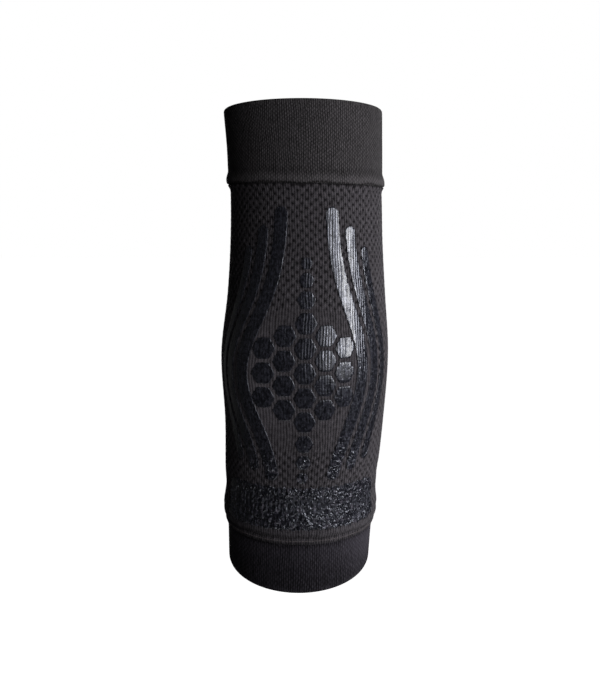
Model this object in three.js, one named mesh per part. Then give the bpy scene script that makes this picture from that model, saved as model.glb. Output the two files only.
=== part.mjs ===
// Knitted elbow support: a tubular knit sleeve with a folded cuff at each end and a raised
// silicone print over the elbow point. It keeps the form it has on a slightly bent arm.
// Millimetres, +Z up along the upper arm, elbow point towards -Y, origin in the middle of the
// arm passage at the elbow.
import * as THREE from 'three';

// Walls and clearances
const BODY_WALL = 1.6; // single knit of the sleeve
const UPPER_CUFF_WALL = 2.4; // knit folded double
const LOWER_CUFF_WALL = 1.8;
const PRINT_THICKNESS = 0.8;
const GAP = 0.3; // between pieces that lie on each other
const LAP = 6; // length of the overlap at each cuff seam

// Rolls of knit at the two seams, and the sleeve's swell below the upper one: how far they stand
// out, and half their height
const UPPER_ROLL = { rise: 1, half: 2.4 };
const UPPER_SWELL = { rise: 1, half: 1.6 };
const LOWER_ROLL = { rise: 1.4, half: 5 };

// Levels up the arm, measured at the middle of the passage
const TOP_RIM = 123;
const UPPER_SEAM = 85;
const SWELL_TOP = UPPER_SEAM - 2 * GAP;
const LOWER_SEAM = -89.5;
const BOTTOM_RIM = -110;
const PRINT_CENTRE = -4;

// Fineness of the facets
const AROUND = 48;
const BODY_STEPS = 22;
const INSIDE_STEPS = 13;
const CUFF_STEPS = 4;
const LOWER_CUFF_STEPS = 9;
const ROLL_STEPS = 5;
const RIM_STEPS = 2;

// The arm that the sleeve is stretched over, a row for each section from the wrist end up.
// back is away from the elbow point, a positive tilt lifts the front of the section, and a
// positive cant lowers its right side.
const SECTIONS = [
  { level: -110, sideways: -2.3, back: 10.0, halfWidth: 35.3, halfDepth: 36.2, tilt: -19.5, cant: 0.1 },
  { level: -89.5, sideways: -1.7, back: 6.5, halfWidth: 36.1, halfDepth: 37.0, tilt: -9.0, cant: 0 },
  { level: -70, sideways: -1.2, back: 3.5, halfWidth: 37.8, halfDepth: 38.6, tilt: -7.5, cant: 0 },
  { level: -35, sideways: 0.6, back: -1.0, halfWidth: 39.4, halfDepth: 40.4, tilt: -6.0, cant: 0 },
  { level: 0, sideways: 0.9, back: -3.0, halfWidth: 40.8, halfDepth: 41.2, tilt: -3.5, cant: 0 },
  { level: 30, sideways: 1.7, back: -2.5, halfWidth: 38.8, halfDepth: 39.4, tilt: -1.5, cant: 0 },
  { level: 57, sideways: 1.8, back: -1.0, halfWidth: 37.5, halfDepth: 37.9, tilt: 0, cant: 0.4 },
  { level: 80, sideways: 1.6, back: 0.6, halfWidth: 37.2, halfDepth: 37.3, tilt: 1.2, cant: 1.0 },
  { level: 88, sideways: 1.2, back: 1.2, halfWidth: 37.2, halfDepth: 37.2, tilt: 1.8, cant: 1.1 },
  { level: 104, sideways: 0.8, back: 2.5, halfWidth: 37.5, halfDepth: 37.2, tilt: 3.5, cant: 0.4 },
  { level: 123, sideways: -0.1, back: 4.0, halfWidth: 38.3, halfDepth: 37.6, tilt: 6.0, cant: 0.2 },
];

// Soft forms of the sleeve: how far its face rises at a level, over what spread up the arm, how
// much the form climbs from the middle to the right side, the angle round the arm in degrees where
// it is strongest, how sharply it fades away from there, and the share of it left opposite.
const FOLDS = [
  { name: 'elbow point', level: 0, rise: 1.2, spread: 26, climb: 0, turn: 0, lobe: 1, opposite: 0 },
  { name: 'side of the joint', level: -8, rise: 4, spread: 34, climb: 0, turn: -42, lobe: 30, opposite: 0 },
  { name: 'cuff crease', level: -76.5, rise: 0.4, spread: 4, climb: 0, turn: 0, lobe: 1, opposite: 1 },
  { name: 'hollow over it', level: -65, rise: -0.35, spread: 5, climb: 3, turn: 0, lobe: 1, opposite: 1 },
];

// Six-sided pads of the print, packed round the elbow point, with a tail of smaller pads above and
// below. Widths are across the flats.
const PAD_WIDTH = 9.8;
const PAD_PITCH = 11.6;
const PAD_RINGS = 2; // rings of pads round the middle one
const PAD_EDGE = 0.82; // share of a pad's half width at which its edge starts to round off
const TAIL_PADS = [
  { distance: 34, width: 8.2 },
  { distance: 43.3, width: 6.8 },
  { distance: 51.2, width: 5.4 },
];

// Lines of the print down each side of the pads: they bow out round the elbow. reach is how far
// round the arm a line lies at its ends, bow what the elbow adds, and above and below its length.
const LINE_SPREAD = 38;
const LINE_STEPS = 28;
const LINES = [
  { reach: 12.5, bow: 18.5, band: 7, above: 78, below: 53 },
  { reach: 22, bow: 18, band: 6, above: 69, below: 49 },
  { reach: 30.5, bow: 17.5, band: 5, above: 59, below: 45 },
];

// Band of the print above the lower cuff, round the front: how far it reaches to each side, the
// levels of its edges, and the radius of its corners
const GRIP_BAND = { reach: 46, top: -60.5, bottom: -81.8, corner: 6 };
const GRIP_STEPS_AROUND = 26;
const GRIP_STEPS_UP = 5;

// Finishes
const SLEEVE_KNIT = { color: 0x2b292b, roughness: 0.92, metalness: 0 };
const CUFF_KNIT = { color: 0x2d2b2d, roughness: 0.95, metalness: 0 };
const SILICONE = { color: 0x101014, roughness: 0.22, metalness: 0 };

const COLUMNS = ['sideways', 'back', 'halfWidth', 'halfDepth', 'tilt', 'cant'];
const armForm = new THREE.CubicInterpolant(
  SECTIONS.map((row) => row.level),
  SECTIONS.flatMap((row) => COLUMNS.map((column) => row[column])),
  COLUMNS.length,
  new Float64Array(COLUMNS.length),
);

// How far the soft folds lift a face at a level and an angle round the arm.
function foldRise(level, angle) {
  let rise = 0;
  for (const fold of FOLDS) {
    const distance = (level - fold.level - fold.climb * Math.sin(angle)) / fold.spread;
    const away = angle - THREE.MathUtils.degToRad(fold.turn);
    const lobe = ((1 + Math.cos(away)) / 2) ** fold.lobe;
    rise += fold.rise * THREE.MathUtils.lerp(fold.opposite, 1, lobe) * Math.exp(-distance * distance);
  }
  return rise;
}

// A point on the sleeve: angle 0 faces the elbow point and grows towards +X, and lift is the
// distance out from the arm.
function onArm(angle, level, lift) {
  const [sideways, back, halfWidth, halfDepth, tilt, cant] = armForm.evaluate(level);
  const out = lift + foldRise(level, angle);
  const across = (halfWidth + out) * Math.sin(angle);
  const depth = -(halfDepth + out) * Math.cos(angle);
  const lean = THREE.MathUtils.degToRad(tilt);
  const drop = across * Math.sin(THREE.MathUtils.degToRad(cant));
  return new THREE.Vector3(
    sideways + across,
    back + depth * Math.cos(lean),
    level - depth * Math.sin(lean) - drop,
  );
}

// Moves every vertex of a geometry by a function of its place.
function moveVertices(geometry, place) {
  const positions = geometry.getAttribute('position');
  const vertex = new THREE.Vector3();
  for (let i = 0; i < positions.count; i += 1) {
    vertex.fromBufferAttribute(positions, i);
    positions.setXYZ(i, ...place(vertex).toArray());
  }
  geometry.computeVertexNormals();
  return geometry;
}

// A closed wall turned round the arm. Each point of its profile is a lift and a level. The wall is
// turned round a plain core first, and then laid on the arm.
function knitTube(profile) {
  const core = 100;
  const points = profile.map(({ lift, level }) => new THREE.Vector2(core + lift, level));
  const lathe = new THREE.LatheGeometry([...points, points[0].clone()], AROUND);
  return moveVertices(lathe, ({ x, y, z }) =>
    onArm(Math.atan2(x, z), y, Math.hypot(x, z) - core),
  );
}

// Evenly spaced profile points at one lift, from one level to another.
function straightRun(lift, from, to, steps) {
  return Array.from({ length: steps + 1 }, (_, i) => ({
    lift,
    level: THREE.MathUtils.lerp(from, to, i / steps),
  }));
}

// A rounded run of profile points, part of an ellipse, swept in degrees from straight out.
function roundRun(lift, level, liftRadius, levelRadius, from, to, steps) {
  return Array.from({ length: steps + 1 }, (_, i) => {
    const sweep = THREE.MathUtils.degToRad(THREE.MathUtils.lerp(from, to, i / steps));
    return {
      lift: lift + liftRadius * Math.cos(sweep),
      level: level + levelRadius * Math.sin(sweep),
    };
  });
}

// The upper cuff: folded over at the rim, with a soft roll that laps over the sleeve's end.
function upperCuff() {
  const { rise, half } = UPPER_ROLL;
  const fold = UPPER_CUFF_WALL / 2;
  const inside = BODY_WALL + GAP;
  const bulge = UPPER_CUFF_WALL + rise - inside;
  const middle = UPPER_SEAM + half;
  const seat = UPPER_SEAM + LAP + GAP;
  return knitTube([
    { lift: inside, level: UPPER_SEAM },
    ...roundRun(inside, middle, bulge, half, -60, 45, ROLL_STEPS),
    ...straightRun(UPPER_CUFF_WALL, middle + 2 * half, TOP_RIM - fold, CUFF_STEPS),
    ...roundRun(fold, TOP_RIM - fold, fold, fold, 45, 135, RIM_STEPS),
    ...straightRun(0, TOP_RIM - fold, seat + GAP, CUFF_STEPS),
    { lift: inside, level: seat },
  ]);
}

// The sleeve's outside, from the lip of its lower roll up to where it swells below the upper cuff.
function sleeveOutside() {
  const { rise, half } = LOWER_ROLL;
  const middle = LOWER_SEAM + half;
  const swellFoot = SWELL_TOP - 2 * UPPER_SWELL.half;
  return [
    ...roundRun(LOWER_CUFF_WALL + GAP, middle, rise, half, -80, 60, ROLL_STEPS),
    ...straightRun(BODY_WALL, middle + 2 * half, swellFoot, BODY_STEPS),
  ];
}

// The sleeve: it swells up to the upper cuff, which laps over its end, and its lower end rolls over
// the lower cuff.
function sleeveBody() {
  const { rise, half } = UPPER_SWELL;
  const inside = LOWER_CUFF_WALL + GAP;
  const upperEnd = UPPER_SEAM + LAP;
  const lapEnd = LOWER_SEAM + LAP + GAP;
  return knitTube([
    ...sleeveOutside(),
    { lift: BODY_WALL + rise, level: SWELL_TOP - half / 2 },
    { lift: BODY_WALL, level: SWELL_TOP },
    { lift: BODY_WALL, level: upperEnd },
    ...straightRun(0, upperEnd, lapEnd + LOWER_ROLL.half, INSIDE_STEPS),
    { lift: inside, level: lapEnd },
    { lift: inside, level: LOWER_SEAM + GAP },
  ]);
}

// The lower cuff: its upper end lies under the sleeve's roll, and its rim is folded over.
function lowerCuff() {
  const fold = LOWER_CUFF_WALL / 2;
  const upperEnd = LOWER_SEAM + LAP;
  return knitTube([
    ...roundRun(fold, BOTTOM_RIM + fold, fold, fold, -135, -45, RIM_STEPS),
    ...straightRun(LOWER_CUFF_WALL, BOTTOM_RIM + fold, upperEnd, LOWER_CUFF_STEPS),
    ...straightRun(0, upperEnd, BOTTOM_RIM + fold, CUFF_STEPS),
  ]);
}

// The lift of the sleeve's outside at a level.
function outsideLift(level) {
  const outside = sleeveOutside();
  const next = outside.findIndex((point) => point.level >= level);
  const [low, high] = [outside[next - 1], outside[next]];
  return THREE.MathUtils.mapLinear(level, low.level, high.level, low.lift, high.lift);
}

// A place on the print's faces: mm round the arm, level, and height above the print's underside.
function onSleeve(around, level, rise) {
  const [, , halfWidth, halfDepth] = armForm.evaluate(level);
  const radius = (halfWidth + halfDepth) / 2 + BODY_WALL + GAP;
  return onArm(around / radius, level, outsideLift(level) + GAP + rise);
}

// A pad with its upper edge rounded off, and two flats level with the arm's run.
function printPad({ around, level, width }) {
  const corner = width / Math.sqrt(3);
  const profile = [
    new THREE.Vector2(0, 0),
    new THREE.Vector2(corner, 0),
    new THREE.Vector2(corner, PRINT_THICKNESS / 2),
    new THREE.Vector2(corner * PAD_EDGE, PRINT_THICKNESS),
    new THREE.Vector2(0, PRINT_THICKNESS),
  ];
  const pad = new THREE.LatheGeometry(profile, 6, Math.PI / 2);
  return moveVertices(pad, ({ x, y, z }) => onSleeve(around + x, level - z, y));
}

// The places and widths of all pads: columns from left to right, then the tails.
function padPlaces() {
  const places = [];
  for (let column = -PAD_RINGS; column <= PAD_RINGS; column += 1) {
    const rows = 2 * PAD_RINGS + 1 - Math.abs(column);
    for (let row = 0; row < rows; row += 1) {
      const around = (column * PAD_PITCH * Math.sqrt(3)) / 2;
      const level = PRINT_CENTRE + (row - (rows - 1) / 2) * PAD_PITCH;
      places.push({ around, level, width: PAD_WIDTH });
    }
  }
  for (const { distance, width } of TAIL_PADS) {
    places.push({ around: 0, level: PRINT_CENTRE + distance, width });
    places.push({ around: 0, level: PRINT_CENTRE - distance, width });
  }
  return places;
}

// A line of print on one side, with side -1 on the left and 1 on the right.
function printLine({ reach, bow, band, above, below }, side) {
  const box = new THREE.BoxGeometry(band, above + below, PRINT_THICKNESS, 2, LINE_STEPS, 1);
  box.translate(0, (above - below) / 2, PRINT_THICKNESS / 2);
  return moveVertices(box, ({ x, y, z }) => {
    const fade = Math.exp(-((y / LINE_SPREAD) ** 2));
    const slope = (side * bow * fade * -2 * y) / LINE_SPREAD ** 2;
    const across = new THREE.Vector2(1, -slope).normalize().multiplyScalar(x);
    const around = side * (reach + bow * fade) + across.x;
    return onSleeve(around, PRINT_CENTRE + y + across.y, z);
  });
}

// The band of print above the lower cuff, with rounded corners.
function gripBand() {
  const { reach, top, bottom, corner } = GRIP_BAND;
  const half = (top - bottom) / 2;
  const box = new THREE.BoxGeometry(
    2 * reach, 2 * half, PRINT_THICKNESS, GRIP_STEPS_AROUND, GRIP_STEPS_UP, 1,
  );
  return moveVertices(box, ({ x, y, z }) => {
    const inCorner = Math.max(0, Math.abs(y) - half + corner) / corner;
    const inset = corner * (1 - Math.sqrt(1 - inCorner ** 2));
    const around = x * (1 - inset / reach);
    return onSleeve(around, bottom + half + y, z + PRINT_THICKNESS / 2);
  });
}

function piece(name, geometry, finish) {
  const mesh = new THREE.Mesh(geometry, new THREE.MeshStandardMaterial(finish));
  mesh.name = name;
  return mesh;
}

const elbowSupport = new THREE.Group();
elbowSupport.add(
  piece('upper_cuff', upperCuff(), CUFF_KNIT),
  piece('sleeve_body', sleeveBody(), SLEEVE_KNIT),
  piece('lower_cuff', lowerCuff(), CUFF_KNIT),
);

const silicone = new THREE.Group();
padPlaces().forEach((place, i) => {
  const number = String(i + 1).padStart(2, '0');
  silicone.add(piece(`pad_${number}`, printPad(place), SILICONE));
});
LINES.forEach((line, i) => {
  silicone.add(piece(`line_left_${i + 1}`, printLine(line, -1), SILICONE));
  silicone.add(piece(`line_right_${i + 1}`, printLine(line, 1), SILICONE));
});
silicone.add(piece('grip_band', gripBand(), SILICONE));
elbowSupport.add(silicone);

export default elbowSupport;
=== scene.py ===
# Knitted elbow support, dressed: the knit of the sleeve and its cuffs, the seam stitches and the
# silicone print. Form tables are in mm, as the solids have them, and meshes are in metres.
# +Z runs up the upper arm, and the elbow point faces -Y.
import math

import bpy
import numpy as np
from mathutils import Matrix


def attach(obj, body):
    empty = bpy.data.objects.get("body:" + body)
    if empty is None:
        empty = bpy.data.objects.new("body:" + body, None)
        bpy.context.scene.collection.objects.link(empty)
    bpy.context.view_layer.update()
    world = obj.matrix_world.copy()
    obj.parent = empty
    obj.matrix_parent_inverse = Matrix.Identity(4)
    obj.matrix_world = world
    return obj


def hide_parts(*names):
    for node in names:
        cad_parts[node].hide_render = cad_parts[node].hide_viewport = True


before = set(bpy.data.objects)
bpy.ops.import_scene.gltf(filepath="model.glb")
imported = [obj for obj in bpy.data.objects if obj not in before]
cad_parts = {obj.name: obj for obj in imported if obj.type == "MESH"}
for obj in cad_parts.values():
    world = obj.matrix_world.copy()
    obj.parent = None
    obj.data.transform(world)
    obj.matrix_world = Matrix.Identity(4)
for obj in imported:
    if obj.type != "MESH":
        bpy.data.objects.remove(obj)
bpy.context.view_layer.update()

MM = 0.001
FULL_TURN = 2 * math.pi

# Walls, laps, rolls, rims, steps and levels of the knit, in mm
BODY_WALL = 1.6
UPPER_CUFF_WALL = 2.4
LOWER_CUFF_WALL = 1.8
GAP = 0.3
LAP = 6.0
LOWER_ROLL_HALF = 5.0
RIM_PLAIN = 0.6
RIM_FADE = 1.8
HEM_STEP = 0.4
LOWER_CUFF_STEP = 0.6
TOP_RIM = 123.0
UPPER_SEAM = 85.0
LOWER_SEAM = -89.5
BOTTOM_RIM = -110.0

# The arm that the knit is stretched over, in mm and degrees. Columns: level, sideways, back,
# half width, half depth, tilt that lifts the front, cant that lowers the right side.
SECTIONS = np.array([
    (-110.0, -2.3, 10.0, 35.3, 36.2, -19.5, 0.1),
    (-89.5, -1.7, 6.5, 36.1, 37.0, -9.0, 0.0),
    (-70.0, -1.2, 3.5, 37.8, 38.6, -7.5, 0.0),
    (-35.0, 0.6, -1.0, 39.4, 40.4, -6.0, 0.0),
    (0.0, 0.9, -3.0, 40.8, 41.2, -3.5, 0.0),
    (30.0, 1.7, -2.5, 38.8, 39.4, -1.5, 0.0),
    (57.0, 1.8, -1.0, 37.5, 37.9, 0.0, 0.4),
    (80.0, 1.6, 0.6, 37.2, 37.3, 1.2, 1.0),
    (88.0, 1.2, 1.2, 37.2, 37.2, 1.8, 1.1),
    (104.0, 0.8, 2.5, 37.5, 37.2, 3.5, 0.4),
    (123.0, -0.1, 4.0, 38.3, 37.6, 6.0, 0.2),
])

# Soft forms of the knit, in mm. Columns: level, rise, spread up the arm, climb to the right side,
# turn in degrees where it is strongest, how sharply it fades round the arm, share left opposite.
FOLDS = (
    (0.0, 1.2, 26.0, 0.0, 0.0, 1.0, 0.0),
    (-8.0, 4.0, 34.0, 0.0, -42.0, 30.0, 0.0),
    (-76.5, 0.4, 4.0, 0.0, 0.0, 1.0, 1.0),
    (-65.0, -0.35, 5.0, 3.0, 0.0, 1.0, 1.0),
)

# Wrinkles above the lower cuff. Columns: turn and level where one starts, turn and level where it
# ends, how far it bows up between them, depth and spread in mm.
WRINKLES = (
    (0.35, -80.4, 1.3, -70.0, -3.2, 0.9, 1.9),
    (0.75, -74.2, 1.4, -65.5, -1.0, 0.7, 1.7),
    (1.0, -82.5, 1.9, -79.5, -0.5, 0.6, 1.8),
    (-0.3, -79.4, -1.6, -75.0, 0.0, 0.8, 2.0),
    (-0.8, -77.0, -1.32, -60.5, 0.0, 0.6, 1.7),
    (-0.98, -78.0, -1.5, -61.5, 0.0, 0.55, 1.6),
)

# The knit's counts round the arm, and its pitches up the arm in mm
BODY_RIBS = 186
BODY_HOLES = 54
BODY_HOLE_PITCH = 4.3
CUFF_RIBS = 224
CUFF_HOLES = 112
CUFF_HOLE_PITCH = 1.8
LOWER_CUFF_RIBS = 200
LOWER_CUFF_HOLES = 100
LOWER_CUFF_HOLE_PITCH = 2.0

# How far the rows of loops stray round the arm in radians, and up it in mm
STRAY_ROUND = 0.006
STRAY_UP = 0.3

# Print: pads packed round the elbow point, smaller ones above and below, and bowed lines, in mm.
# Columns of the smaller pads: distance from the middle, width.
PRINT_CENTRE = -4.0
PRINT_FOOT = -0.25
PRINT_RISE = 0.36
PRINT_TOOTH = 0.16
PAD_WIDTH = 9.8
PAD_PITCH = 11.6
PAD_RINGS = 2
TAIL_PADS = ((34.0, 8.2), (43.3, 6.8), (51.2, 5.4))
LINE_SPREAD = 38.0
# Columns: reach round the arm at the ends, bow at the elbow, band, length above and below.
LINES = (
    (12.5, 18.5, 7.0, 78.0, 53.0),
    (22.0, 18.0, 6.0, 69.0, 49.0),
    (30.5, 17.5, 5.0, 59.0, 45.0),
)
# Band of the print above the lower cuff, in mm: its reach to each side, the levels of its edges and
# the radius of its corners
BAND_REACH = 46.0
BAND_TOP = -60.5
BAND_BOTTOM = -81.8
BAND_CORNER = 6.0

# The photograph's frame and what the camera sees in it
IMAGE_WIDTH, IMAGE_HEIGHT = 600, 686
ORIGIN_PIXEL = (303, 350)
CAMERA_DISTANCE = 0.75
CAMERA_ELEVATION = math.radians(6)
METRES_PER_PIXEL = 0.52 * MM
SENSOR = 36.0


# The form of the arm

def arm_form(level):
    """Sideways, back, half width, half depth, tilt and cant at each level."""
    knots, values = SECTIONS[:, 0], SECTIONS[:, 1:]
    slopes = np.diff(values, axis=0) / np.diff(knots)[:, None]
    tangents = np.vstack([slopes[:1], (slopes[1:] + slopes[:-1]) / 2, slopes[-1:]])
    level = np.clip(level, knots[0], knots[-1])
    i = np.clip(np.searchsorted(knots, level) - 1, 0, len(knots) - 2)
    span = (knots[i + 1] - knots[i])[:, None]
    share = (level - knots[i])[:, None] / span
    rise = values[i + 1] - values[i]
    start = tangents[i] * span - rise
    end = rise - tangents[i + 1] * span
    bend = (1 - share) * start + share * end
    return (values[i] + share * rise + share * (1 - share) * bend).T


def crease_depth(turn, level):
    """How deep the wrinkles press the knit in, in mm, and below 0 where they raise it beside them."""
    depth = np.zeros_like(level)
    for turn_0, level_0, turn_1, level_1, bow, deepest, spread in WRINKLES:
        share = np.clip((turn - turn_0) / (turn_1 - turn_0), 0, 1)
        along = level_0 + (level_1 - level_0) * share + bow * 4 * share * (1 - share)
        distance = ((level - along) / spread) ** 2
        fade = np.sin(math.pi * share) ** 0.7
        depth += deepest * fade * (1 - 1.1 * distance) * np.exp(-distance)
    return depth


def fold_rise(turn, level):
    """How far the soft forms and wrinkles lift the knit, in mm."""
    rise = -crease_depth(turn, level)
    for middle, height, spread, climb, strongest, sharpness, opposite in FOLDS:
        distance = (level - middle - climb * np.sin(turn)) / spread
        lobe = ((1 + np.cos(turn - np.radians(strongest))) / 2) ** sharpness
        rise += height * (opposite + (1 - opposite) * lobe) * np.exp(-distance ** 2)
    return rise


def on_arm(turn, level, lift):
    """Places in metres: turn 0 faces the elbow point and grows towards +X."""
    sideways, back, half_width, half_depth, tilt, cant = arm_form(level)
    out = lift + fold_rise(turn, level)
    across = (half_width + out) * np.sin(turn)
    depth = -(half_depth + out) * np.cos(turn)
    lean = np.radians(tilt)
    drop = across * np.sin(np.radians(cant))
    up = level - depth * np.sin(lean) - drop
    return np.stack([sideways + across, back + depth * np.cos(lean), up], axis=-1) * MM


# Profiles of the walls: rows of lift and level, in mm

def straight(lift, start, end, steps):
    level = np.linspace(start, end, steps + 1)
    return np.stack([np.full(steps + 1, lift), level], axis=-1)


def rounded(lift, level, radius, start, end):
    """An arc in ten steps, from one angle in degrees to another."""
    sweep = np.radians(np.linspace(start, end, 11))
    return np.stack([lift + radius * np.cos(sweep), level + radius * np.sin(sweep)], axis=-1)


def softened(path, rounds=3):
    """Cuts the corners of an open path, and keeps its ends."""
    for _ in range(rounds):
        near = path[:-1] * 0.75 + path[1:] * 0.25
        far = path[:-1] * 0.25 + path[1:] * 0.75
        cut = np.stack([near, far], axis=1).reshape(-1, 2)
        path = np.vstack([path[:1], cut, path[-1:]])
    return path


def spaced(path, spacing):
    """The same path with points about a spacing apart."""
    lengths = np.linalg.norm(np.diff(path, axis=0), axis=1)
    run = np.concatenate([[0.0], np.cumsum(lengths)])
    count = max(2, int(round(run[-1] / spacing)) + 1)
    marks = np.linspace(0, run[-1], count)
    return np.stack([np.interp(marks, run, path[:, k]) for k in (0, 1)], axis=-1)


# Meshes

def weave_wobble(turn, level):
    """How far the rows of loops stray round the arm in radians, and up it in mm."""
    round_arm = np.sin(7 * turn + level * 0.21) + 0.6 * np.sin(13 * turn - level * 0.34 + 1.3)
    up_arm = np.sin(9 * turn + level * 0.17 + 0.5) + 0.7 * np.sin(17 * turn - level * 0.27)
    return STRAY_ROUND * round_arm, STRAY_UP * up_arm


def new_piece(name, points, faces, turn, level, face, corner_turn=None):
    """A mesh piece that carries its place on the knit: turn, level, share of the relief, and the depth
    of the wrinkles, which the knit's finish darkens as painted shade in the creases.
    """
    mesh = bpy.data.meshes.new(name)
    mesh.from_pydata(points.tolist(), [], faces)
    crease_shade = crease_depth(turn, level)
    stray_round, stray_up = weave_wobble(turn, level)
    carried = {
        "turn": turn + stray_round, "level": (level + stray_up) * MM, "face": face, "crease_shade": crease_shade,
    }
    for label, values in carried.items():
        attribute = mesh.attributes.new(label, "FLOAT", "POINT")
        attribute.data.foreach_set("value", values.astype(np.float32))
    corners = np.concatenate([np.asarray(loop) for loop in faces])
    if corner_turn is None:
        corner_turn = turn[corners]
    loops_round = (corner_turn + stray_round[corners]) / FULL_TURN
    loops_up = (level + stray_up)[corners] * MM
    weave = np.stack([loops_round, loops_up], axis=-1)
    layer = mesh.uv_layers.new(name="weave")
    layer.uv.foreach_set("vector", weave.astype(np.float32).ravel())
    piece = bpy.data.objects.new(name, mesh)
    bpy.context.scene.collection.objects.link(piece)
    return piece


def ring_faces(rings, columns, closed):
    """Quads between rings of points, and the column of each. A closed stack joins its last ring to
    its first."""
    i = np.arange(rings if closed else rings - 1)
    i, j = (x.ravel() for x in np.meshgrid(i, np.arange(columns), indexing="ij"))
    ring_next, column_next = (i + 1) % rings, (j + 1) % columns
    corners = [(i, j), (i, column_next), (ring_next, column_next), (ring_next, j)]
    quads = np.stack([a * columns + b for a, b in corners], axis=-1)
    return quads, j


def capped_faces(rings, columns):
    """Faces of an open stack of rings, with a cap on its first ring and on its last."""
    quads, _ = ring_faces(rings, columns, False)
    last = (rings - 1) * columns
    caps = [list(range(columns))[::-1], list(range(last, last + columns))]
    return quads.tolist() + caps


def knit_wall(name, outside, inside, turns, rim=None):
    """A closed wall round the arm. The outside carries the relief, fading out at its two ends and
    towards the level of a folded rim."""
    profile = np.vstack([outside, inside])
    rows, columns = len(profile), len(turns)
    lift, level = (np.repeat(profile[:, k], columns) for k in (0, 1))
    turn = np.tile(turns, rows)
    to_end = np.minimum(np.arange(len(outside)), np.arange(len(outside))[::-1])
    fade = np.clip(to_end / 2.0, 0, 1)
    if rim is not None:
        fade *= np.clip((np.abs(outside[:, 1] - rim) - RIM_PLAIN) / RIM_FADE, 0, 1)
    face = np.repeat(np.concatenate([fade, np.zeros(len(inside))]), columns)
    quads, column = ring_faces(rows, columns, True)
    corner_turn = turn[quads]
    corner_turn[column == columns - 1, 1:3] += FULL_TURN
    points = on_arm(turn, level, lift)
    return new_piece(name, points, quads.tolist(), turn, level, face, corner_turn.ravel())


# Node trees

class Wire:
    """A value in a node tree. Sums on it are written as Python expressions."""

    def __init__(self, tree, socket):
        self.tree = tree
        self.socket = socket

    @staticmethod
    def plug(tree, socket, value):
        if isinstance(value, Wire):
            tree.links.new(value.socket, socket)
        else:
            socket.default_value = value

    @classmethod
    def node(cls, tree, kind, settings=None, sockets=None, output=0):
        """Adds a node of any type and gives one of its outputs."""
        made = tree.nodes.new(kind)
        for key, value in (settings or {}).items():
            setattr(made, key, value)
        for key, value in (sockets or {}).items():
            cls.plug(tree, made.inputs[key], value)
        return cls(tree, made.outputs[output])

    def math(self, operation, *others):
        values = dict(enumerate((self, *others)))
        return self.node(self.tree, "ShaderNodeMath", {"operation": operation}, values)

    def __add__(self, other):
        return self.math("ADD", other)

    def __sub__(self, other):
        return self.math("SUBTRACT", other)

    def __rsub__(self, other):
        return (self * -1.0) + other

    def __mul__(self, other):
        return self.math("MULTIPLY", other)

    def __truediv__(self, other):
        return self.math("DIVIDE", other)

    __radd__ = __add__
    __rmul__ = __mul__

    def cosine(self):
        return self.math("COSINE")

    def ramp(self, low, high):
        """0 below low and 1 above high, with soft ends."""
        settings = {"interpolation_type": "SMOOTHSTEP"}
        values = {"Value": self, "From Min": low, "From Max": high}
        return self.node(self.tree, "ShaderNodeMapRange", settings, values)


def tree_inputs(tree, sockets):
    """Names the inputs of a geometry tree, and gives a wire from each."""
    tree.interface.new_socket("Geometry", in_out="INPUT", socket_type="NodeSocketGeometry")
    for name, kind in sockets:
        tree.interface.new_socket(name, in_out="INPUT", socket_type=f"NodeSocket{kind}")
    tree.interface.new_socket("Geometry", in_out="OUTPUT", socket_type="NodeSocketGeometry")
    source = tree.nodes.new("NodeGroupInput")
    return {socket.name: Wire(tree, socket) for socket in source.outputs if socket.name}


def tree_output(tree, geometry, material):
    """Ends a geometry tree in realized instances with a material."""
    real = Wire.node(tree, "GeometryNodeRealizeInstances", {}, {"Geometry": geometry})
    dressed = {"Geometry": real, "Material": material}
    done = Wire.node(tree, "GeometryNodeSetMaterial", {}, dressed)
    tree.links.new(done.socket, tree.nodes.new("NodeGroupOutput").inputs[0])


def field(tree, name):
    return Wire.node(tree, "GeometryNodeInputNamedAttribute", {"data_type": "FLOAT"}, {"Name": name})


def knit_relief_tree():
    """Ribs up the arm and staggered holes, with a plain ribbed zone over the elbow point."""
    tree = bpy.data.node_groups.new("knit relief", "GeometryNodeTree")
    given = tree_inputs(tree, [
        ("Ribs Around", "Float"), ("Rib Height", "Float"),
        ("Holes Around", "Float"), ("Hole Pitch", "Float"), ("Hole Depth", "Float"),
        ("Plain Turn", "Float"), ("Plain Level", "Float"), ("Plain Half Height", "Float"),
        ("Hem Level", "Float"), ("Crumple Scale", "Float"), ("Crumple Height", "Float"),
        ("Material", "Material"),
    ])
    turn, level, face = (field(tree, name) for name in ("turn", "level", "face"))
    across = turn / given["Plain Turn"]
    along = (level - given["Plain Level"]) / given["Plain Half Height"]
    plain = 1.0 - (across * across + along * along).ramp(0.8, 1.15)
    columns = (turn * given["Holes Around"]).cosine()
    rows = (level * FULL_TURN / given["Hole Pitch"]).cosine()
    lattice = columns * rows
    hem = (level - given["Hem Level"]).ramp(0.0, 0.006)
    opened = (1.0 - plain) * hem * face
    hole = lattice.ramp(0.1, 0.9) * opened
    swell = lattice * opened * -0.3
    ribs = (turn * given["Ribs Around"]).cosine()
    crumple = Wire.node(tree, "ShaderNodeTexNoise", {}, {"Scale": given["Crumple Scale"], "Detail": 2.0})
    relief = ribs * given["Rib Height"] + (swell - hole) * given["Hole Depth"]
    relief = relief + (crumple - 0.5) * given["Crumple Height"]
    normal = Wire.node(tree, "GeometryNodeInputNormal")
    offset = Wire.node(tree, "ShaderNodeVectorMath", {"operation": "SCALE"},
                       {"Vector": normal, "Scale": relief * face})
    moved = Wire.node(tree, "GeometryNodeSetPosition", {},
                      {"Geometry": given["Geometry"], "Offset": offset})
    marked = Wire.node(tree, "GeometryNodeStoreNamedAttribute",
                       {"data_type": "FLOAT", "domain": "POINT"},
                       {"Geometry": moved, "Name": "open", "Value": opened})
    tree_output(tree, marked, given["Material"])
    return tree


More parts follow.
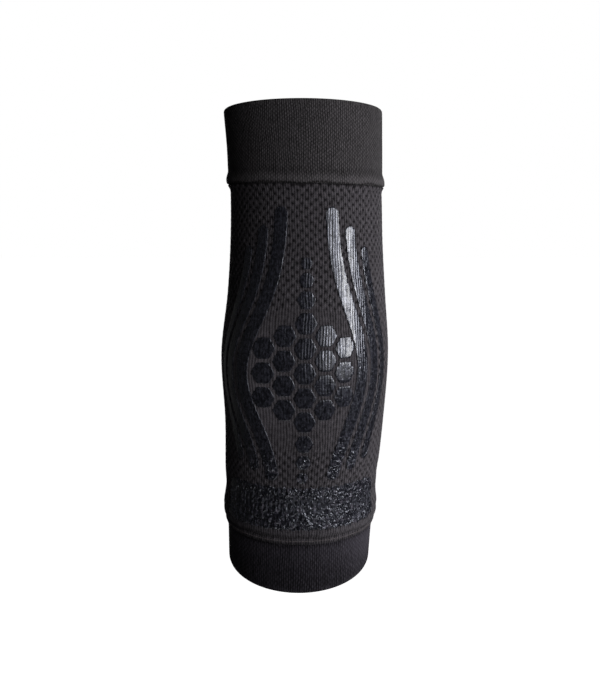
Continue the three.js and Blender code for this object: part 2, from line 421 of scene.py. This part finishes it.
def seam_stitch_tree():
    """A row of short stitches along a closed line."""
    tree = bpy.data.node_groups.new("seam stitches", "GeometryNodeTree")
    given = tree_inputs(tree, [
        ("Count", "Int"), ("Stitch Length", "Float"), ("Thread Radius", "Float"),
        ("Material", "Material"),
    ])
    row = Wire.node(tree, "GeometryNodeResampleCurve", {},
                    {"Curve": given["Geometry"], "Count": given["Count"]})
    stitch = Wire.node(tree, "GeometryNodeMeshUVSphere", {},
                       {"Segments": 8, "Rings": 5, "Radius": 1.0})
    size = Wire.node(tree, "ShaderNodeCombineXYZ", {}, {
        "X": given["Stitch Length"] / 2.0, "Y": given["Thread Radius"], "Z": given["Thread Radius"],
    })
    tangent = Wire.node(tree, "GeometryNodeInputTangent")
    lie = Wire.node(tree, "FunctionNodeAlignRotationToVector", {"axis": "X"}, {"Vector": tangent})
    placed = Wire.node(tree, "GeometryNodeInstanceOnPoints", {},
                       {"Points": row, "Instance": stitch, "Rotation": lie, "Scale": size})
    tree_output(tree, placed, given["Material"])
    return tree


def set_by_nodes(piece, tree, values):
    """Runs a geometry tree on a piece, and leaves its result as a plain smooth mesh."""
    modifier = piece.modifiers.new(tree.name, "NODES")
    modifier.node_group = tree
    for item in tree.interface.items_tree:
        if item.in_out == "INPUT" and item.name in values:
            modifier[item.identifier] = values[item.name]
    graph = bpy.context.evaluated_depsgraph_get()
    made = piece.evaluated_get(graph)
    mesh = bpy.data.meshes.new_from_object(made, preserve_all_data_layers=True, depsgraph=graph)
    name = piece.name
    bpy.data.objects.remove(piece)
    finished = bpy.data.objects.new(name, mesh)
    mesh.name = name
    bpy.context.scene.collection.objects.link(finished)
    mesh.shade_smooth()
    return finished


# Finishes

def new_finish(name, **constants):
    """A material with its shader, the constants set on the shader's own sockets."""
    material = bpy.data.materials.new(name)
    material.use_nodes = True
    tree = material.node_tree
    shader = tree.nodes["Principled BSDF"]
    for key, value in constants.items():
        shader.inputs[key.replace("_", " ")].default_value = value
    return material, tree, shader


def weave_place(tree):
    """The place on the knit: turns round the arm, and level in metres."""
    uv = Wire.node(tree, "ShaderNodeUVMap", {"uv_map": "weave"})
    parts = tree.nodes.new("ShaderNodeSeparateXYZ")
    tree.links.new(uv.socket, parts.inputs[0])
    return Wire(tree, parts.outputs["X"]), Wire(tree, parts.outputs["Y"])


def speckle(tree, scale, detail=3.0, stretch=(1.0, 1.0, 1.0)):
    """Noise on the piece's own coordinates, drawn out by a stretch."""
    place = Wire.node(tree, "ShaderNodeTexCoord", {}, {}, "Object")
    mapped = Wire.node(tree, "ShaderNodeMapping", {}, {"Vector": place, "Scale": stretch})
    values = {"Vector": mapped, "Scale": scale, "Detail": detail}
    return Wire.node(tree, "ShaderNodeTexNoise", {}, values)


def mixed_colour(tree, share, low, high):
    sockets = {0: share, 6: low, 7: high}
    settings = {"data_type": "RGBA", "clamp_factor": True}
    return Wire.node(tree, "ShaderNodeMix", settings, sockets, 2)


def bump(tree, height, distance, strength=1.0):
    values = {"Height": height, "Distance": distance, "Strength": strength}
    return Wire.node(tree, "ShaderNodeBump", {}, values)


def streaks(tree, turns, level, ribs, run):
    """Noise from -0.5 to 0.5 that differs from rib to rib, and changes along a rib over a run in mm."""
    place = Wire.node(tree, "ShaderNodeCombineXYZ", {}, {"X": turns * ribs, "Y": level / (run * MM)})
    values = {"Vector": place, "Scale": 1.0, "Detail": 1.0}
    return Wire.node(tree, "ShaderNodeTexNoise", {}, values) - 0.5


def bell(distance):
    return (distance * distance * -1.0).math("EXPONENT")


# Finish of the knit: runs of its streaks and wales along a rib in mm, scales of its noise per metre,
# its darkest and palest yarn as shares of the mean, and the colour down in a hole
STREAK_RUN = 2.2
WALE_RUN = 14.0
FUZZ_SCALE = 1300.0
CLOUD_SCALE = 45.0
DARK_SHARE = 0.3
PALE_SHARE = 3.1
HOLE_COLOUR = (0.0035, 0.0032, 0.0038, 1)


def knit_finish(name, tint, ribs, holes, pitch, course, weights, painted_fold_shading, painted_light_patch=None):
    """Black elastic knit: ribs, looped yarn, fuzz and dark holes. tint is the yarn's mean colour.
    ribs and holes are counts round the arm, pitch and course are the steps of the holes and the loops
    up it in mm, and weights has the strength of each feature. Each fold or groove gets a level and
    spread in mm, and how much painted light (above 0) or painted shade (below 0) is laid on its yarn.
    The light patch is a painted pool of light: its turn, its spread in turns, its level and spread in
    mm, and how much lighter it paints the yarn."""
    material, tree, shader = new_finish(
        name, Specular_IOR_Level=0.04, Sheen_Weight=0.04, Sheen_Roughness=0.4)
    turns, level = weave_place(tree)
    opened, crease_shade = (
        Wire.node(tree, "ShaderNodeAttribute", {"attribute_name": label}, {}, "Fac")
        for label in ("open", "crease_shade"))
    rib = (turns * (FULL_TURN * ribs)).cosine()
    loop = ((level / (course * MM) + rib * 0.25) * FULL_TURN).cosine()
    rows = (level * (FULL_TURN / (pitch * MM))).cosine()
    lattice = (turns * (FULL_TURN * holes)).cosine() * rows * opened
    streak = streaks(tree, turns, level, ribs, STREAK_RUN)
    fuzz = speckle(tree, FUZZ_SCALE, 3.0, (1.0, 1.0, 0.6)) - 0.5
    cloud = speckle(tree, CLOUD_SCALE) - 0.5
    # The ribs' term paints highlights on the rib crests and shade between them, and the lattice term
    # paints light on the raised yarn between the holes and shade round the holes.
    tone = 0.5 + rib * weights["ribs"] + loop * 0.1 - lattice * weights["lattice"]
    # The term from the wrinkles' depth is painted shade in their valleys.
    tone = tone + streak * weights["streaks"] + fuzz * 0.7 + cloud * 0.25 - crease_shade * 0.25
    wale = streaks(tree, turns, level, ribs, WALE_RUN).ramp(0.02, 0.22)
    tone = tone - (wale - 0.3) * weights["wales"]
    # Painted light and painted shade along each fold, groove and rim.
    for middle, spread, gain in painted_fold_shading:
        tone = tone + bell((level - middle * MM) / (spread * MM)) * gain
    # A painted pool of light: the yarn is painted lighter where more light would fall.
    if painted_light_patch:
        turn, turn_spread, middle, spread, gain = painted_light_patch
        patch = bell((turns - turn) / turn_spread) * bell((level - middle * MM) / (spread * MM))
        tone = tone + patch * gain
    dark_yarn, pale_yarn = (
        (*(share * part for part in tint), 1) for share in (DARK_SHARE, PALE_SHARE))
    yarn_colour = mixed_colour(tree, tone * 0.5, dark_yarn, pale_yarn)
    # The holes are less open towards the lower end.
    stretch = level.ramp(-0.07, 0.03) * 0.35 + 0.65
    hole = (lattice + streak * 1.1).ramp(0.42, 0.92) * stretch * weights["holes"]
    colour = mixed_colour(tree, hole, yarn_colour, HOLE_COLOUR)
    Wire.plug(tree, shader.inputs["Base Color"], colour)
    Wire.plug(tree, shader.inputs["Roughness"], 0.88 + fuzz * 0.2)
    relief = rib * 0.4 + loop * 0.15 - lattice * 0.3 + fuzz * 0.6 + streak * 0.5
    Wire.plug(tree, shader.inputs["Normal"], bump(tree, relief, 0.2 * MM, 0.8))
    return material


# Finish of the print: its colours where it is dark, worn and scuffed, runs of its streaks and flecks
# along a rib in mm, and scales of its noise per metre
PRINT_DARK = (0.003, 0.0032, 0.005, 1)
PRINT_WORN = (0.027, 0.0275, 0.037, 1)
PRINT_SCUFF = (0.105, 0.095, 0.118, 1)
GLOSS_RUN = 9.0
FLECK_RUN = 1.3
GRAIN_SCALE = 1100.0
MOTTLE_SCALE = 620.0
FACET_SCALE = 600.0


def silicone_finish():
    """Glossy blue-black print that lets the ribs under it show as streaks. Lower down it is crumpled
    into facets, with pale scuffs."""
    material, tree, shader = new_finish(
        "silicone", Specular_IOR_Level=0.5, Specular_Tint=(0.84, 0.87, 1.0, 1),
        Coat_Roughness=0.08)
    turns, level = weave_place(tree)
    rib = (turns * (BODY_RIBS * FULL_TURN)).cosine() * 0.5 + 0.5
    streak = streaks(tree, turns, level, BODY_RIBS * 0.9, GLOSS_RUN)
    fleck = streaks(tree, turns, level, BODY_RIBS * 0.8, FLECK_RUN)
    grain = speckle(tree, GRAIN_SCALE, 3.0, (1.0, 1.0, 0.6))
    crumple = (level * -1.0).ramp(0.025, 0.06)
    mottle = speckle(tree, MOTTLE_SCALE, 2.0, (1.0, 1.0, 0.8))
    worn = (mottle * 0.6 + grain).ramp(0.6, 1.05)
    scuff = mottle.ramp(0.57, 0.66) * crumple * 0.45
    tone = mixed_colour(tree, worn, PRINT_DARK, PRINT_WORN)
    tone = mixed_colour(tree, scuff, tone, PRINT_SCUFF)
    Wire.plug(tree, shader.inputs["Base Color"], tone)
    dull = (streak + fleck * 0.7).ramp(-0.15, 0.25)
    top = Wire.node(tree, "ShaderNodeAttribute", {"attribute_name": "face"}, {}, "Fac").ramp(0.3, 1.0)
    Wire.plug(tree, shader.inputs["Roughness"], 0.5 - top * (0.4 - dull * 0.26))
    Wire.plug(tree, shader.inputs["Coat Weight"], (1.0 - dull) * top * (0.5 - crumple * 0.45))
    facet = speckle(tree, FACET_SCALE, 1.0, (1.0, 1.0, 0.8)) - 0.5
    fine = (rib * 0.35 + streak * 1.3 + grain * 0.4) * (1.0 - crumple * 0.7)
    relief = fine + fleck * (0.5 + crumple) + facet * crumple * 11.0
    Wire.plug(tree, shader.inputs["Normal"], bump(tree, relief, 0.22 * MM, 0.85))
    return material


# Finish of the seam thread: its colours, and the scale of its fibres per metre
THREAD_DARK = (0.05, 0.041, 0.043, 1)
THREAD_PALE = (0.12, 0.1, 0.104, 1)
FIBRE_SCALE = 3000.0


def thread_finish():
    """Seam thread, a little lighter and warmer than the knit."""
    material, tree, shader = new_finish("seam_thread", Specular_IOR_Level=0.3, Sheen_Weight=0.1)
    fibre = speckle(tree, FIBRE_SCALE, 2.0)
    tone = mixed_colour(tree, fibre, THREAD_DARK, THREAD_PALE)
    Wire.plug(tree, shader.inputs["Base Color"], tone)
    Wire.plug(tree, shader.inputs["Roughness"], 0.7 + fibre * 0.2)
    Wire.plug(tree, shader.inputs["Normal"], bump(tree, fibre, 0.1 * MM))
    return material


# The knit pieces

def even_turns(count):
    return np.arange(count) * FULL_TURN / count - math.pi


# The bead at the foot of the upper cuff, from its lip up, and the sleeve's swell below it, in mm.
# Columns: lift, level above the seam.
UPPER_BEAD = (
    (BODY_WALL + GAP, 0.0), (2.9, -0.2), (3.3, 0.4), (3.45, 1.4), (3.45, 2.4), (3.25, 3.5),
    (2.9, 4.6), (2.55, 5.6), (2.35, 6.6), (UPPER_CUFF_WALL, 9.0),
)
UPPER_SWELL = (
    (BODY_WALL, -4.2), (1.65, -3.3), (1.9, -2.4), (2.3, -1.6), (2.7, -1.0), (2.75, -0.6),
    (2.3, -0.4), (BODY_WALL, 0.0), (BODY_WALL, LAP - 1.0),
)


def upper_cuff_wall():
    """The band with its folded rim, and the bead that laps over the sleeve."""
    fold = UPPER_CUFF_WALL / 2
    inside_lip = BODY_WALL + GAP
    seat = UPPER_SEAM + LAP + GAP
    outside = softened(np.vstack([
        [(lift, UPPER_SEAM + above) for lift, above in UPPER_BEAD],
        straight(UPPER_CUFF_WALL, UPPER_SEAM + 11.0, TOP_RIM - fold, 8),
        rounded(fold, TOP_RIM - fold, fold, 15, 165),
        [(0.0, TOP_RIM - 2 * fold)],
    ]))
    inside = np.vstack([straight(0.0, TOP_RIM - 4 * fold, seat + GAP, 5), [(inside_lip, seat)]])
    return knit_wall("upper_cuff_knit", spaced(outside, CUFF_HOLE_PITCH / 4), inside,
                     even_turns(3 * CUFF_RIBS), TOP_RIM)


# The stitches along the hem's bead: how many, and their level and lift in mm
STITCHES = 150
STITCH_LEVEL = -87.7
STITCH_LIFT = 2.85

# The sleeve's hem in mm, from its lip up: a thin bead, a groove and the wide roll over the lower
# cuff. Columns: lift, level.
HEM = (
    (LOWER_CUFF_WALL + GAP, -89.5), (2.4, -89.4), (2.65, -88.8), (2.85, -88.0), (2.8, -87.4),
    (2.45, -86.8), (2.35, -86.3), (2.7, -85.8), (3.2, -85.1), (3.5, -84.2), (3.45, -82.5),
    (3.0, -79.5), (2.2, -76.5), (1.75, -73.5), (BODY_WALL, -71.5), (BODY_WALL, -70.0),
)


def sleeve_lift(level):
    """How far the sleeve's outside lies from the arm at each level."""
    hem = softened(np.array(HEM), 2)
    return np.interp(level, hem[:, 1], hem[:, 0])


def sleeve_wall():
    upper_end = UPPER_SEAM + LAP
    lap_end = LOWER_SEAM + LAP + GAP
    row = BODY_HOLE_PITCH / 6
    hem = spaced(softened(np.array(HEM), 2), HEM_STEP)
    plain_end = HEM[-1][1]
    swell = np.array([(lift, UPPER_SEAM + above) for lift, above in UPPER_SWELL])
    rows_up = int((swell[0, 1] - plain_end) / row)
    outside = np.vstack([
        hem[:-1],
        straight(BODY_WALL, plain_end, plain_end + row * rows_up, rows_up)[:-1],
        spaced(softened(swell, 2), HEM_STEP),
        [(BODY_WALL * 0.8, upper_end)],
    ])
    inside = np.vstack([
        straight(0.0, upper_end, lap_end + LOWER_ROLL_HALF, 9),
        [(LOWER_CUFF_WALL + GAP, lap_end)],
    ])
    return knit_wall("sleeve_knit", outside, inside, even_turns(6 * BODY_HOLES))


def lower_cuff_wall():
    fold = LOWER_CUFF_WALL / 2
    upper_end = LOWER_SEAM + LAP
    outside = softened(np.vstack([
        [(0.0, BOTTOM_RIM + 2 * fold)],
        rounded(fold, BOTTOM_RIM + fold, fold, -165, -15),
        straight(LOWER_CUFF_WALL, BOTTOM_RIM + 2 * fold, upper_end - 0.5, 8),
        [(LOWER_CUFF_WALL * 0.7, upper_end)],
    ]))
    inside = straight(0.0, upper_end, BOTTOM_RIM + 4 * fold, 4)
    return knit_wall("lower_cuff_knit", spaced(outside, LOWER_CUFF_STEP), inside,
                     even_turns(3 * LOWER_CUFF_RIBS), BOTTOM_RIM)


# The print

# Section of the print from its foot over the rounded edge. Columns: share of the half width, rise.
PRINT_EDGE = ((1.0, PRINT_FOOT), (1.005, 0.1), (0.985, 0.24), (0.955, 0.32), (0.9, 0.35))


def print_piece(name, around, level, rise, faces):
    """Lays places in mm round the front of the sleeve on it."""
    form = arm_form(level)
    turn = around / ((form[2] + form[3]) / 2 + BODY_WALL + GAP)
    face = np.clip(rise / PRINT_RISE, 0, 1)
    toothed = level + PRINT_TOOTH * np.cos(turn * BODY_RIBS)
    points = on_arm(turn, toothed, sleeve_lift(toothed) + rise)
    return new_piece(name, points, faces, turn, toothed, face)


def pad_piece(name, around, level, width):
    """A six-sided pad with soft corners, a rounded upper edge and a slightly ragged outline."""
    sides = 72
    sweep = np.arange(sides) * FULL_TURN / sides
    wedge = (sweep + math.pi / 6) % (math.pi / 3) - math.pi / 6
    softness, round_radius = 0.25, 1.06
    outline = width / 2 * ((1 - softness) / np.cos(wedge) + softness * round_radius)
    ragged = 0.012 * np.sin(sweep * 11 + level) + 0.01 * np.sin(sweep * 23 + around)
    tops = [(share, PRINT_RISE) for share in (0.74, 0.62, 0.5, 0.38, 0.26, 0.14, 0.03)]
    rows = np.array([(0.03, PRINT_FOOT), *PRINT_EDGE, *tops])
    radius = rows[:, :1] * (outline * (1 + ragged))[None, :]
    arounds = (around + radius * np.sin(-sweep)).ravel()
    levels = (level + radius * np.cos(-sweep)).ravel()
    rise = np.repeat(rows[:, 1], sides)
    return print_piece(name, arounds, levels, rise, capped_faces(len(rows), sides))


def strip_piece(name, along, half, tops, place):
    """A strip of print with a rounded edge, closed at both ends. half is its half width at each step
    along it, and place gives the way round the arm and the level of steps along and across it."""
    flat = [(share, PRINT_RISE) for share in np.linspace(0.72, -0.72, tops)]
    far_edge = [(-share, rise) for share, rise in PRINT_EDGE[::-1]]
    section = np.array([*PRINT_EDGE, *flat, *far_edge])
    around, level = place(along[:, None], section[None, :, 0] * half[:, None])
    rise = np.tile(section[:, 1], len(along))
    faces = capped_faces(len(along), len(section))
    return print_piece(name, around.ravel(), level.ravel(), rise, faces)


def line_piece(name, side, reach, bow, band, above, below):
    """A bowed line with round ends. Its edges are toothed where it grips the ribs."""
    step = 0.8
    along = np.linspace(above, -below, int((above + below) / step) + 1)
    to_end = np.minimum(above - along, along + below)
    ends = np.sqrt(np.clip(1 - (1 - to_end / (band / 2)).clip(0) ** 2, 0.01, 1))
    tooth = 0.2 * np.abs((along / 1.7) % 1 * 2 - 1) + 0.1 * np.sin(along * 1.9 + reach)

    def place(along, across):
        fade = np.exp(-(along / LINE_SPREAD) ** 2)
        slope = side * bow * fade * -2 * along / LINE_SPREAD ** 2
        tilt = 1 / np.sqrt(1 + slope ** 2)
        around = side * (reach + bow * fade) + across * tilt
        return around, PRINT_CENTRE + along - across * slope * tilt

    return strip_piece(name, along, (band / 2 - tooth) * ends, 11, place)


def band_piece(name):
    """The band above the lower cuff, with round corners."""
    middle = (BAND_TOP + BAND_BOTTOM) / 2
    half = (BAND_TOP - BAND_BOTTOM) / 2
    step = 0.7
    along = np.linspace(-BAND_REACH, BAND_REACH, int(2 * BAND_REACH / step) + 1)
    in_corner = np.clip(np.abs(along) - BAND_REACH + BAND_CORNER, 0, BAND_CORNER)
    inset = BAND_CORNER - np.sqrt(BAND_CORNER ** 2 - in_corner ** 2)
    tooth = 0.4 * np.sin(along * 2.3) + 0.3 * np.sin(along * 0.9 + 1.0) + 0.3 * np.sin(along * 3.7)

    def place(along, across):
        return along + 0 * across, middle + across

    return strip_piece(name, along, half - inset - tooth, int(2 * half / step), place)


def pad_places():
    """Around, level and width of each pad, in the order of the solids."""
    places = []
    for column in range(-PAD_RINGS, PAD_RINGS + 1):
        rows = 2 * PAD_RINGS + 1 - abs(column)
        for row in range(rows):
            around = column * PAD_PITCH * math.sqrt(3) / 2
            places.append((around, PRINT_CENTRE + (row - (rows - 1) / 2) * PAD_PITCH, PAD_WIDTH))
    for distance, width in TAIL_PADS:
        places.append((0.0, PRINT_CENTRE + distance, width))
        places.append((0.0, PRINT_CENTRE - distance, width))
    return places


# Dressing the solids

def dress(piece, slot, *nodes):
    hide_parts(*nodes)
    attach(piece, "root")


def seam_line(name, turns, level, lift):
    """A closed line round the arm, for the stitches to follow."""
    places = on_arm(turns, np.full_like(turns, level), np.full_like(turns, lift))
    curve = bpy.data.curves.new(name, "CURVE")
    curve.dimensions = "3D"
    spline = curve.splines.new("POLY")
    spline.points.add(len(places) - 1)
    spline.points.foreach_set("co", np.hstack([places, np.ones((len(places), 1))]).ravel())
    spline.use_cyclic_u = True
    line = bpy.data.objects.new(name, curve)
    bpy.context.scene.collection.objects.link(line)
    return line


relief_tree = knit_relief_tree()
NO_PLAIN_ZONE = {"Plain Turn": 1.0, "Plain Level": 10.0, "Plain Half Height": 0.1, "Hem Level": -1.0}
SMOOTH = {"Crumple Scale": 1.0, "Crumple Height": 0.0}

upper_cuff = set_by_nodes(upper_cuff_wall(), relief_tree, {
    "Ribs Around": CUFF_RIBS, "Rib Height": 0.04 * MM,
    "Holes Around": CUFF_HOLES, "Hole Pitch": CUFF_HOLE_PITCH * MM, "Hole Depth": 0.07 * MM,
    **NO_PLAIN_ZONE, **SMOOTH,
    "Material": knit_finish(
        "cuff_knit", tint=(0.0376, 0.035, 0.0376), ribs=CUFF_RIBS, holes=CUFF_HOLES,
        pitch=CUFF_HOLE_PITCH, course=0.9,
        weights={"ribs": 0.4, "lattice": 0.2, "streaks": 0.9, "holes": 0.35, "wales": 0.2},
        # Painted shadow at the bead's foot, painted light on its crest and faint painted shade above it.
        painted_fold_shading=[(85.2, 0.5, -0.6), (87.0, 1.9, 0.42), (91.0, 1.6, -0.12)]),
})
dress(upper_cuff, "cuff_knit", "upper_cuff")

sleeve = set_by_nodes(sleeve_wall(), relief_tree, {
    "Ribs Around": BODY_RIBS, "Rib Height": 0.0,
    "Holes Around": BODY_HOLES, "Hole Pitch": BODY_HOLE_PITCH * MM, "Hole Depth": 0.24 * MM,
    "Plain Turn": 0.9, "Plain Level": -7.5 * MM, "Plain Half Height": 35.0 * MM,
    "Hem Level": -84.0 * MM, **SMOOTH,
    "Material": knit_finish(
        "sleeve_knit", tint=(0.0422, 0.0388, 0.0438), ribs=BODY_RIBS, holes=BODY_HOLES,
        pitch=BODY_HOLE_PITCH, course=1.1,
        weights={"ribs": 0.3, "lattice": 0.24, "streaks": 1.4, "holes": 0.8, "wales": 0.2},
        # Painted shadow under the upper bead, painted light on the hem's roll, painted shade in its
        # groove and on its lower flank.
        painted_fold_shading=[(84.8, 0.7, -0.75), (-84.0, 1.0, 0.16), (-86.4, 0.5, -0.3), (-89.3, 0.7, -0.35)],
        # Painted light on the left front of the elbow.
        painted_light_patch=(-0.125, 0.075, -14.0, 38.0, 0.8)),
})
dress(sleeve, "sleeve_knit", "sleeve_body")

lower_cuff = set_by_nodes(lower_cuff_wall(), relief_tree, {
    "Ribs Around": LOWER_CUFF_RIBS, "Rib Height": 0.03 * MM, "Holes Around": LOWER_CUFF_HOLES,
    "Hole Pitch": LOWER_CUFF_HOLE_PITCH * MM, "Hole Depth": 0.06 * MM, **NO_PLAIN_ZONE, **SMOOTH,
    "Material": knit_finish(
        "lower_cuff_knit", tint=(0.0188, 0.0172, 0.0216), ribs=LOWER_CUFF_RIBS,
        holes=LOWER_CUFF_HOLES, pitch=LOWER_CUFF_HOLE_PITCH, course=0.8,
        weights={"ribs": 0.42, "lattice": 0.2, "streaks": 1.3, "holes": 0.35, "wales": 0.3},
        # Painted shadow under the hem, painted light below it and on the rim's fold, and darker towards
        # the bottom rim.
        painted_fold_shading=[(-90.2, 0.8, -0.35), (-93.0, 3.5, 0.16), (-108.0, 9.0, -0.28), (-109.0, 0.9, 0.2)],
        # Painted light on the lower cuff's right side.
        painted_light_patch=(0.19, 0.08, -97.0, 12.0, 0.6)),
})
dress(lower_cuff, "cuff_knit", "lower_cuff")

PRINT_RELIEF = {
    "Ribs Around": BODY_RIBS, "Rib Height": 0.035 * MM, "Holes Around": BODY_HOLES,
    "Hole Pitch": BODY_HOLE_PITCH * MM, "Hole Depth": 0.0, **NO_PLAIN_ZONE, **SMOOTH,
    "Material": silicone_finish(),
}
BAND_RELIEF = {**PRINT_RELIEF, "Crumple Scale": 380.0, "Crumple Height": 1.2 * MM}
for i, (around, level, width) in enumerate(pad_places(), 1):
    pad = pad_piece(f"silicone_pad_{i:02d}", around, level, width)
    dress(set_by_nodes(pad, relief_tree, PRINT_RELIEF), "silicone", f"pad_{i:02d}")
for i, row in enumerate(LINES, 1):
    for label, side in (("left", -1), ("right", 1)):
        line = line_piece(f"silicone_line_{label}_{i}", side, *row)
        dress(set_by_nodes(line, relief_tree, PRINT_RELIEF), "silicone", f"line_{label}_{i}")
band = band_piece("silicone_grip_band")
dress(set_by_nodes(band, relief_tree, BAND_RELIEF), "silicone", "grip_band")

stitches = set_by_nodes(
    seam_line("seam_stitches", even_turns(240), STITCH_LEVEL, STITCH_LIFT), seam_stitch_tree(),
    {"Count": STITCHES, "Stitch Length": 1.35 * MM, "Thread Radius": 0.16 * MM,
     "Material": thread_finish()})
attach(stitches, "root")


# Stage, light and camera

# The floor's level and half width in metres, and how bright the surround is for the knit and, on top
# of that, in the gloss
FLOOR_LEVEL = -0.45
FLOOR_HALF = 12.0
AMBIENT = 0.007
GLOSS_AMBIENT = 0.035

# Softboxes, in degrees, metres and watts. Columns: name, azimuth, elevation, distance, width, height,
# power, whether it lights the knit, whether it shows in the gloss of the print.
SOFTBOXES = (
    ("key", 36, 10, 0.9, 0.6, 0.5, 6.2, True, False),
    ("gloss_core", 60, 12, 0.9, 0.3, 0.6, 7.3, False, True),
    ("gloss_spread", 45, 10, 0.9, 0.8, 0.8, 3.2, False, True),
    ("side_right", 96, -6, 0.9, 0.4, 0.7, 8.0, True, False),
    ("left_fill", -36, -20, 0.35, 0.2, 0.2, 0.034, True, False),
    ("back_right", 145, 12, 0.9, 0.5, 0.7, 2.5, True, False),
    ("back_left", -170, 12, 0.9, 0.5, 0.7, 4.0, True, False),
    ("table_bounce", -25, -80, 0.7, 0.5, 0.4, 1.2, True, True),
)


def stage_finish():
    material, _, _ = new_finish(
        "studio_white", Roughness=0.9, Base_Color=(0.9, 0.9, 0.9, 1), Emission_Color=(1, 1, 1, 1),
        Emission_Strength=1.0)
    return material


def floor():
    mesh = bpy.data.meshes.new("floor")
    sides = ((-1, -1), (1, -1), (1, 1), (-1, 1))
    corners = [(x * FLOOR_HALF, y * FLOOR_HALF, FLOOR_LEVEL) for x, y in sides]
    mesh.from_pydata(corners, [], [(0, 1, 2, 3)])
    mesh.materials.append(stage_finish())
    plane = bpy.data.objects.new("floor", mesh)
    plane.visible_diffuse = False
    plane.visible_glossy = False
    bpy.context.scene.collection.objects.link(plane)


def white_surround():
    """A world that the camera sees as white, and that the knit and the gloss see as nearly black."""
    world = bpy.data.worlds.new("studio")
    bpy.context.scene.world = world
    world.use_nodes = True
    tree = world.node_tree
    tree.nodes.clear()
    seen, in_gloss = (
        Wire.node(tree, "ShaderNodeLightPath", {}, {}, ray)
        for ray in ("Is Camera Ray", "Is Glossy Ray"))
    strength = seen * (1 - AMBIENT) + in_gloss * GLOSS_AMBIENT + AMBIENT
    sky = Wire.node(tree, "ShaderNodeBackground", {}, {"Color": (1, 1, 1, 1), "Strength": strength})
    out = tree.nodes.new("ShaderNodeOutputWorld")
    tree.links.new(sky.socket, out.inputs["Surface"])


def soft_light(name, azimuth, elevation, distance, width, height, power, lights_knit, mirrored):
    """A softbox that faces the elbow. Azimuth 0 is in front, and grows to the right."""
    azimuth, elevation = math.radians(azimuth), math.radians(elevation)
    lamp = bpy.data.lights.new(name, "AREA")
    lamp.shape = "RECTANGLE"
    lamp.size, lamp.size_y = width, height
    lamp.energy = power
    holder = bpy.data.objects.new(name, lamp)
    holder.visible_diffuse = lights_knit
    holder.visible_glossy = mirrored
    flat = distance * math.cos(elevation)
    holder.location = (flat * math.sin(azimuth), -flat * math.cos(azimuth),
                       distance * math.sin(elevation))
    holder.rotation_euler = (math.pi / 2 - elevation, 0, azimuth)
    bpy.context.scene.collection.objects.link(holder)


def photo_camera():
    """The photograph's view: the origin at its pixel, and its scale there."""
    camera = bpy.data.cameras.new("camera")
    camera.sensor_width = SENSOR
    camera.lens = CAMERA_DISTANCE / METRES_PER_PIXEL / IMAGE_HEIGHT * SENSOR
    camera.shift_x = (IMAGE_WIDTH / 2 - ORIGIN_PIXEL[0]) / IMAGE_HEIGHT
    camera.shift_y = (ORIGIN_PIXEL[1] - IMAGE_HEIGHT / 2) / IMAGE_HEIGHT
    holder = bpy.data.objects.new("camera", camera)
    holder.location = (0, -CAMERA_DISTANCE * math.cos(CAMERA_ELEVATION),
                       CAMERA_DISTANCE * math.sin(CAMERA_ELEVATION))
    holder.rotation_euler = (math.pi / 2 - CAMERA_ELEVATION, 0, 0)
    bpy.context.scene.collection.objects.link(holder)
    bpy.context.scene.camera = holder


photo_camera()
white_surround()
floor()
for row in SOFTBOXES:
    soft_light(*row)
bpy.context.scene.view_settings.view_transform = "Standard"
